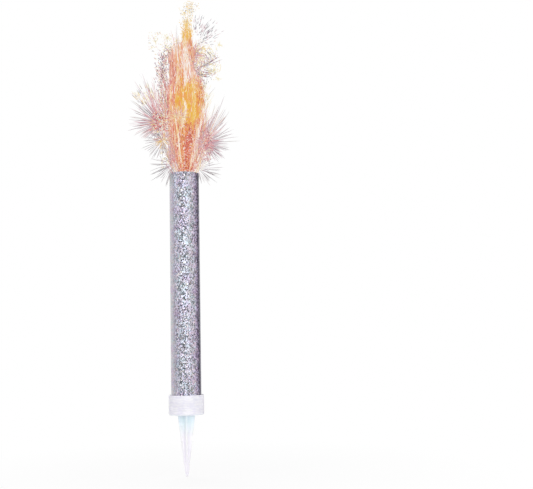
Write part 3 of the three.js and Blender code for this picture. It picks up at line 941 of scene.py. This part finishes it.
# How far the trails of each burst fly, as (degrees from +X, millimetres)
LEFT_REACH = [(94, 15), (105, 30), (115, 27), (138, 22), (170, 17), (201, 16.5), (228, 13), (250, 7)]
LOWER_REACH = [(110, 7), (150, 8), (180, 9.5), (222, 12), (234, 14), (262, 9), (300, 8)]
LEFT_FOOT_REACH = [(96, 8), (130, 9), (152, 10), (176, 13.8), (218, 15), (232, 12), (253, 11), (262, 6)]
RIGHT_REACH = [(-80, 6), (-60, 10), (-38, 13), (-22, 12), (11, 17.5)]
RIGHT_REACH += [(37, 19), (61, 27), (73, 24), (85, 12)]
RIGHT_FOOT_REACH = [(-82, 5), (-66, 8), (-38, 12.5), (-15, 12.5), (5, 14.5), (25, 12), (60, 9), (84, 8)]
SHOULDER_REACH = [(-70, 5), (-30, 8), (0, 10), (40, 9.5), (70, 7), (100, 5)]
KNOT_REACH = [(-30, 6), (-5, 7.5), (41, 12), (60, 9), (110, 6)]
# Foot, bend and end of the long trails at the upper right, as (x, height)
WHIPS = [
    ((4.4, 60.4), (5, 66), (7.4, 68)),
    ((4.8, 60), (7.2, 64), (11, 67.4)),
    ((10.4, 61.6), (13, 60.6), (13.7, 57.6)),
    ((8.4, 55.4), (13.6, 57.6), (17.7, 60.4)),
    ((6.2, 53.6), (10, 49.4), (13.4, 53)),
]
# Where the fuzz beside the left tongue runs, as (height, x)
UPPER_FUZZ = [(45, -10), (52, -10.4), (58, -9.6), (65, -7.4)]
LOWER_FUZZ = [(28, -9.4), (36, -10.2), (50, -10.8)]
SHOULDER_FUZZ = [(43, 10.4), (48, 9.4), (54, 6.6), (60, 5)]


def pairs(*hundredths):
    """The (tone, second) pairs that strokes choose from."""
    numbers = [number / 100 for number in hundredths]
    return tuple(zip(numbers[::2], numbers[1::2]))


def burst(side, material, rows):
    """The sparks of one burst's node, from rows of a function above and what it is given."""
    strokes = Strokes()
    for make, *given in rows:
        make(strokes, *given)
    strokes.piece(f"{side}_sparks", material, "sparks", [f"{side}_spark_burst"])


def build_plume():
    flame = glowing("flame", FLAME_TONES, BLUSH_TONES, 0.85)
    sparks = glowing("sparks", SPARK_TONES, PALE_TONES, 0.85)
    flame_body(flame)
    upright, small = flame_strokes(), Strokes()
    flame_tips(upright)
    flecks(small, 9500)
    for line, count, scatter, tones in FLAME_LINES:
        long_strokes(upright, line, count, scatter, tones)
    wedge_dots(small, 320)
    spire_sparks(small)
    drifting_stars(small, 72, 80, 250, ((0.56, 0), (0.64, 0), (0.7, 0), (0.8, 0), (0.86, 0)))
    stars = Strokes()
    olive = pairs(100, 0, 100, 20, 100, 40, 97, 10, 93, 0, 72, 10, 90, 0, 66, 30)
    drifting_stars(stars, 77, 89.5, 260, olive)
    for name, strokes, material in (
        ("flame_strokes", upright, flame),
        ("flame_flecks", small, flame),
        ("spire_stars", stars, sparks),
    ):
        strokes.piece(name, material, "flame", ["flame_core"])

    red, rosy, mauve, cool = (0, 0.06, 0.12), (0.12, 0.2, 0.32), (0.34, 0.44, 0.54), (0.56, 0.64, 0.74)
    golden = (0.88, 0.94, 1)
    embers = rosy + golden
    dark_lines = pairs(50, 10, 56, 30, 60, 10, 45, 20, 60, 30, 70, 20, 97, 60, 40, 50)
    lines = pairs(4, 10, 16, 30, 30, 30, 45, 20, 60, 30, 94, 20, 100, 60, 16, 70)
    golden_lines = pairs(88, 10, 90, 30, 96, 30, 10, 40, 16, 20)
    ember_lines = pairs(2, 20, 14, 20, 24, 20, 36, 20, 50, 20, 90, 20, 100, 80)
    dots = pairs(2, 0, 14, 20, 58, 0, 70, 0, 66, 20, 94, 20, 100, 90, 30, 50)
    heart_dots = pairs(0, 0, 6, 10, 60, 0, 54, 10, 50, 100, 90, 100, 0, 100, 100, 100, 14, 30)
    side_dots = pairs(50, 0, 60, 0, 44, 10, 16, 30, 10, 40, 90, 100, 50, 100, 30, 30)
    soft_dots = pairs(10, 35, 34, 20, 46, 30, 60, 20, 70, 10, 94, 30, 100, 90, 30, 60)
    dark_dots = pairs(54, 0, 60, 0, 66, 0, 30, 30, 46, 10, 100, 90, 14, 40, 94, 40)
    rosy_dots = pairs(14, 20, 30, 10, 34, 30, 40, 0, 20, 50, 50, 20, 95, 60)
    warm_dots = pairs(0, 0, 6, 20, 14, 20, 16, 60, 30, 70, 92, 20, 100, 70, 46, 10)
    sunny = pairs(100, 30, 98, 20, 100, 70, 95, 40, 20, 60, 62, 20, 72, 30, 100, 80)
    haze = pairs(100, 60, 100, 40, 98, 80, 95, 50, 72, 50, 16, 80)

    heart, lower, foot = (-11.9, -1, 25), (-10.6, -2, 15.7), (-5.4, -1, 3.5)
    burst("left", sparks, [
        (fan, heart, LEFT_REACH, 42, (0.8, 1), rosy + mauve, cool + mauve, 0.13, (0.35, 0.8)),
        (fan, heart, LEFT_REACH, 56, (0.45, 0.8), red + rosy, cool + rosy, 0.14, (0.1, 0.6)),
        (throw, heart, (-0.3, -1, 0.2), 90, 130, (3, 9), red + golden, rosy + golden + cool, 0.17, 0.8),
        (throw, heart, (-0.6, 0.8, 0.1), 80, 44, (6, 16), red + rosy, mauve + cool, 0.11, 0.6),
        (wisps, heart, (103, 134), (12, 20), 90, sunny),
        (fan, lower, LOWER_REACH, 36, (0.7, 1.1), golden + mauve, cool, 0.12, (0.1, 0.6)),
        (throw, lower, (-0.6, -1, 0), 110, 90, (2, 7), golden, golden + cool + rosy, 0.13, 0.8),
        (fan, foot, LEFT_FOOT_REACH, 26, (0.7, 1.05), mauve + cool, cool, 0.11, (0.15, 0.75)),
        (throw, foot, (-0.7, 0.3, -0.5), 60, 20, (6, 14), cool, cool, 0.12, 0.7),
        (feathers, (-8.6, -1.5, 27), (-6, 20), 46, (8, 22), lines),
        (feathers, (-12.2, -1.5, 27), (6, 38), 18, (8, 20), lines),
        (feathers, (-5.8, -2, 4), (-6, 26), 86, (6, 15), lines),
        (feathers, (-3.6, -2.5, 0), (4, 44), 70, (4, 11), ember_lines),
        (specks, (-15, -5, 18), (-6.5, 2, 32), 260, dark_dots + ((1, 0.95), (0.3, 0.9), (0.04, 0))),
        (specks, (-12, -4, 2), (-4.5, 2, 18), 200, dots + sunny),
        (specks, (-12, -4, 16), (-6.5, 1, 35), 200, warm_dots),
        (specks, (-15.5, -7, 19.5), (-8, -4, 29), 290, heart_dots + ((0.94, 0.8), (0.06, 0)), 0.26),
    ])

    heart, foot = (10.4, -1.5, 14.4), (6.9, -0.5, 1.6)
    burst("right", sparks, [
        (fan, heart, RIGHT_REACH, 42, (0.8, 1), rosy + mauve, cool + mauve, 0.14, (0.3, 0.75)),
        (fan, heart, RIGHT_REACH, 66, (0.4, 0.75), rosy, mauve + rosy + cool, 0.12, (0.2, 0.6)),
        (throw, heart, (0.3, -1, 0.1), 90, 110, (3, 8), red + rosy + mauve, rosy + mauve, 0.13, 0.9),
        (throw, heart, (0.6, 0.8, 0.1), 80, 44, (6, 15), rosy, mauve + cool, 0.11, 0.6),
        (fan, foot, RIGHT_FOOT_REACH, 22, (0.7, 1.05), rosy + mauve, cool, 0.11, (0.15, 0.75)),
        (throw, foot, (0.7, 0.3, -0.5), 60, 16, (6, 12), cool, cool, 0.11, 0.8),
        (feathers, (9.8, -1.5, 14), (-46, 2), 70, (6, 20), lines),
        (feathers, (6.6, -2, 3), (-30, 4), 56, (6, 14), lines),
        (feathers, (4.8, -2.5, 0), (-44, -4), 66, (4, 11), ember_lines + golden_lines),
        (feathers, (10.2, -0.5, 34), (-40, -6), 50, (3, 7), sunny),
        (specks, (7, -5, 8), (14, 2, 20), 120, dots),
        (specks, (8.4, -5, 5), (13.4, 1, 12), 130, rosy_dots),
        (specks, (9, -6, 10), (15, -3, 20), 110, heart_dots, 0.2),
    ])

    burst("upper_right", sparks, [
        (curls, (11, 0, 59.2), 110, sunny),
        (whips, WHIPS, 1, 0.4, ((0.56, 0.1), (0.66, 0.1), (0.46, 0.2))),
        (whips, WHIPS, 3, 2, dark_lines),
        (throw, (4.4, -0.5, 60.6), (1, -0.3, 0.1), 110, 32, (3, 8.5), rosy, rosy, 0.12, 1),
        (fan, (4, -0.5, 60.6), SHOULDER_REACH, 34, (0.5, 1), embers, embers, 0.15, (0.3, 0.9)),
        (fan, (9.4, 0, 53), KNOT_REACH, 14, (0.5, 1), cool, cool + mauve, 0.14, (0.2, 0.6)),
        (feathers, (6.2, -1, 55), (-40, -6), 30, (5, 13), lines),
        (specks, (7, -4, 48), (19, 4, 69), 150, sunny),
        (specks, (7, -4, 48), (12, 2, 55), 50, dots),
        (dashes, 120),
        (small_stars, ((19, 66.6), (18.2, 49), (12.1, 40.2), (16, 53)), 0.7, 0.68),
    ])

    burst("upper_left", sparks, [
        (bristles, UPPER_FUZZ, 410, 1.9, (0.5, 1.5), dark_dots),
        (bristles, LOWER_FUZZ, 300, 1.5, (0.6, 1.8), side_dots),
        (bristles, SHOULDER_FUZZ, 120, 1.6, (0.5, 2), soft_dots),
        (feathers, (-7.8, -1, 42), (-4, 20), 30, (6, 18), lines),
        (feathers, (-2.4, -1, 58), (-4, 16), 26, (5, 12), lines),
        (specks, (-18, -3, 63), (-4, 3, 73), 110, haze),
        (specks, (-10, -3, 62), (-2, 2, 67), 70, sunny),
        (small_stars, ((-14.2, 67.8), (-8, 70.9), (-3.4, 70.3)), 0.75, 0.66),
    ])

    burst("front", sparks, [
        (throw, (-2.4, -8.8, 26), (-0.1, -1, 0), 70, 80, (3, 9), golden, rosy + golden, 0.09, 1),
    ])

    burst("back", sparks, [
        (throw, (2, 8.6, 21), (0.1, 1, 0.1), 95, 260, (7, 16), red + rosy, rosy + mauve + cool, 0.11, 0.6),
        (throw, (2, 8.6, 21), (0.1, 1, 0.1), 115, 140, (3, 8), red + golden, rosy, 0.13, 0.8),
    ])


# The tube and the holder


def build_foil():
    """The film, once round the tube and over its own edge, with the small waves of glued film."""
    inner, outer = TUBE_RADIUS + 0.04 * MM, TUBE_RADIUS + 0.2 * MM
    lap_end, lap_start = radians(91), radians(60)
    lift = 0.2 * MM
    around, up = 176, 90
    bottom, top = foil_low.z, foil_high.z

    def rise(turn):
        """How far the film has climbed onto its own first edge, for a turn past one round."""
        return lift * smooth(2 * pi - 0.22, 2 * pi, turn)

    span = 2 * pi + (lap_end - lap_start)
    turns = [span * i / around for i in range(around + 1)]
    verts, faces, places = [], [], []
    for layer, radius in enumerate((outer, inner)):
        for k in range(up + 1):
            height = bottom + (top - bottom) * k / up
            for i, turn in enumerate(turns):
                angle = lap_start + turn
                spot = Vector((cos(angle) * 3, sin(angle) * 3, height * 160))
                wave = 0.012 * MM * noise.noise(spot)
                far = radius + rise(turn) + wave
                verts.append((far * cos(angle), far * sin(angle), height))
                across = 0.02 + 0.66 * i / around if layer == 0 else 0.72 + 0.26 * i / around
                places.append((across, 0.02 + 0.96 * k / up))
    row = around + 1
    back = row * (up + 1)
    for k in range(up):
        for i in range(around):
            a = k * row + i
            faces.append((a, a + 1, a + row + 1, a + row))
            faces.append((back + a, back + a + row, back + a + row + 1, back + a + 1))
        for i, flip in ((0, False), (around, True)):
            a = k * row + i
            face = (a, a + row, back + a + row, back + a)
            faces.append(tuple(reversed(face)) if flip else face)
    for k, flip in ((0, True), (up, False)):
        for i in range(around):
            a = k * row + i
            face = (a, a + 1, back + a + 1, back + a)
            faces.append(tuple(reversed(face)) if flip else face)
    film = holographic_film()
    piece = new_piece("film_wrap", verts, faces, film, "fountain", ["foil_wrap"], 50)
    write_map(piece.data, places)


def build_tube():
    """The board tube, with a soft rim and the ragged edges of its plies."""
    bore = TUBE_RADIUS - 1.1 * MM
    edge = 0.18 * MM
    low, high = tube_low.z, tube_high.z
    profile = [(bore, low), (TUBE_RADIUS, low), (TUBE_RADIUS, high - edge)]
    profile += arc((TUBE_RADIUS - edge, high - edge), edge, 0, 90, 3)[1:]
    profile += arc((bore + edge, high - edge), edge, 90, 180, 3)
    profile += [(bore, low)]
    verts, faces = lathe(profile, 144)
    for v in verts:
        if v.z > high - 0.5 * edge:
            v.z -= 0.08 * MM * (0.5 + 0.5 * noise.noise(v * 1500))
    new_piece("board_tube", verts, faces, kraft_board(), "fountain", ["paper_tube"], 50)


def blade(turn):
    """Two opposite fins of the spike in one tapering blade with round edges."""
    sections, rows = [], 16
    top, bottom = 0.6 * MM, -23.5 * MM
    root_reach, tip_reach, root_half, thinning = 4.3, 1.5, 0.55, 0.08
    across = Matrix.Rotation(turn, 3, "Z")
    for k in range(rows + 1):
        share = k / rows
        height = top + (bottom - top) * share
        reach = (root_reach + (tip_reach - root_reach) * max(0, height / bottom)) * MM
        half = (root_half - thinning * share) * MM
        section = []
        for side in (0, 1):
            for j in range(7):
                angle = -pi / 2 + pi * j / 6 + pi * side
                middle = (reach - half) * (1 if side == 0 else -1)
                section.append(across @ Vector((middle + half * cos(angle), half * sin(angle), height)))
        sections.append(section)
    return loft(sections)


def grip_rib(azimuth):
    """One upright rib inside the cup, with its sloping lead-in."""
    inner, wall = 7.55 * MM, 8.3 * MM
    low, high, lead = 0.6 * MM, CUP_TOP - 0.85 * MM, 1.8 * MM
    side = [(inner, low), (wall, low), (wall, high), (7.85 * MM, high), (inner, high - lead)]
    half = 0.4 * MM
    turn = Matrix.Rotation(azimuth, 3, "Z")
    return loft([[turn @ Vector((x, y, z)) for x, z in side] for y in (-half, half)])


def build_holder():
    """The cup, its ribs and its four-finned spike, fused into one moulding."""
    bore, floor = 7.85 * MM, 1.2 * MM
    foot, rim = 0.9 * MM, 0.24 * MM
    profile = [(0, 0)]
    profile += arc((CUP_RADIUS - foot, foot), foot, -90, 0, 8)
    grooves, half_groove, groove_depth = (2.4, 3.5, 4.6), 0.12, 0.05 * MM
    for height in grooves:
        for step, depth in ((-half_groove, 0), (0, groove_depth), (half_groove, 0)):
            profile.append((CUP_RADIUS - depth, (height + step) * MM))
    profile += arc((CUP_RADIUS - rim, CUP_TOP - rim), rim, 0, 90, 4)
    profile += arc((bore + rim, CUP_TOP - rim), rim, 90, 180, 4)
    profile += [(bore, floor), (0, floor)]
    cup = lathe(profile, 120)
    core = lathe(
        [(0, SPIKE_TIP), (0.42 * MM, SPIKE_TIP), (0.62 * MM, SPIKE_TIP + 0.2 * MM)]
        + [((1.2 + 0.4 * t) * MM, (-27.2 + 27.8 * t) * MM) for t in (0, 0.1, 0.25, 0.5, 0.75, 1)]
        + [(0, 0.6 * MM)],
        40,
    )
    ribs = [grip_rib(radians(75) + 2 * pi * (i + 0.5) / 6) for i in range(6)]
    made = fused("spike_holder_fine", [cup, core, blade(0), blade(pi / 2), *ribs])
    dress("milky_holder", made, milky_plastic(), "holder", ["spike_holder"], 32)


def paint_nodes():
    """Materials of the CAD nodes that show as they are."""
    painted = {
        "base_plug": grainy("pressed_clay", (150, 142, 130), (198, 190, 176), 1400, 0.95, 0.00008),
        "bottom_wad": grainy("grey_felt", (150, 146, 138), (212, 208, 200), 2600, 0.98, 0.00012),
        "spark_charge": grainy("composition", (86, 84, 82), (168, 164, 158), 1900, 0.8, 0.0001),
        "choke_ring": choke_board(),
    }
    for name, material in painted.items():
        paint(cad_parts[name].data, material)


# The stage


def build_camera():
    """The photograph's view, with the tube left of the middle of the frame."""
    frame_width, focal_pixels, sensor, place = 533, 890.6, 36, (0, -0.450, 0.0347)
    yaw, pitch, roll = (radians(a) for a in (-5.27, 6.29, -1.13))
    data = bpy.data.cameras.new("camera")
    data.sensor_width = sensor
    data.lens = focal_pixels / frame_width * sensor
    data.clip_start, data.clip_end = 0.01, 20
    camera = linked("camera", data)
    turned = Matrix.Rotation(yaw, 4, "Z")
    turned @= Matrix.Rotation(pi / 2 + pitch, 4, "X")
    turned @= Matrix.Rotation(roll, 4, "Z")
    camera.matrix_world = Matrix.Translation(place) @ turned
    bpy.context.scene.camera = camera


def soft_light(name, place, target, size, power):
    data = bpy.data.lights.new(name, "AREA")
    data.shape, data.size, data.energy = "DISK", size, power
    lamp = linked(name, data)
    lamp.location = place
    lamp.rotation_euler = (Vector(target) - Vector(place)).to_track_quat("-Z", "Y").to_euler()


def seen_rays(nodes):
    """One where the camera, a reflection or a see-through surface looks, and else zero."""
    path = nodes.add("LightPath").outputs
    seen = nodes.math("MAXIMUM", path["Is Camera Ray"], path["Is Glossy Ray"])
    return nodes.math("MAXIMUM", seen, path["Is Transmission Ray"])


def build_world():
    """Soft light from all round, behind which the camera sees plain white."""
    light_level, seen_level = 0.7, 1
    world = bpy.data.worlds.new("studio")
    nodes = Nodes(world)
    background = nodes.tree.nodes["Background"]
    background.inputs["Color"].default_value = (1, 1, 1, 1)
    nodes.put(background.inputs["Strength"], nodes.remap(seen_rays(nodes), 0, 1, light_level, seen_level))
    bpy.context.scene.world = world


def build_floor():
    """A pale floor under the spike's tip, with a shadow near the object and white elsewhere."""
    half, gap = 3, 0.05 * MM
    near, far, near_share, far_share = 0.02, 0.16, 0.8, 1
    corners = [(x * half, y * half, 0) for x, y in ((-1, -1), (1, -1), (1, 1), (-1, 1))]
    mesh = new_mesh("floor", corners, [(0, 1, 2, 3)])
    material = bpy.data.materials.new("white_floor")
    nodes = Nodes(material)
    nodes.tree.nodes.clear()
    fade = nodes.remap(nodes.length(nodes.place()), near, far, near_share, far_share)
    share = nodes.times(seen_rays(nodes), fade)
    diffuse = nodes.add("BsdfDiffuse", {"Color": (0.95, 0.95, 0.95, 1)})
    white = nodes.add("Emission")
    blend = nodes.add("MixShader", {"Fac": share, 1: diffuse.outputs[0], 2: white.outputs[0]})
    nodes.add("OutputMaterial", {"Surface": blend.outputs[0]})
    paint(mesh, material)
    floor = linked("floor", mesh)
    floor.location.z = SPIKE_TIP - gap


def build_stage():
    build_camera()
    build_world()
    build_floor()
    middle = (0, 0, 0.06)
    lamps = (
        ("key", (0.42, -0.86, 0.2), middle, 0.95, 1.1),
        ("side", (-0.8, -0.4, 0.5), middle, 0.5, 0.7),
        ("top", (-0.1, 0.4, 0.8), middle, 0.5, 1.2),
        ("low", (0.08, -0.5, -0.012), (0, 0, -0.012), 0.5, 1.1),
    )
    for name, place, target, size, power in lamps:
        soft_light(name, place, target, size, power)
    bpy.context.scene.view_settings.view_transform = "Standard"


build_stage()
build_holder()
build_foil()
build_tube()
paint_nodes()
build_plume()
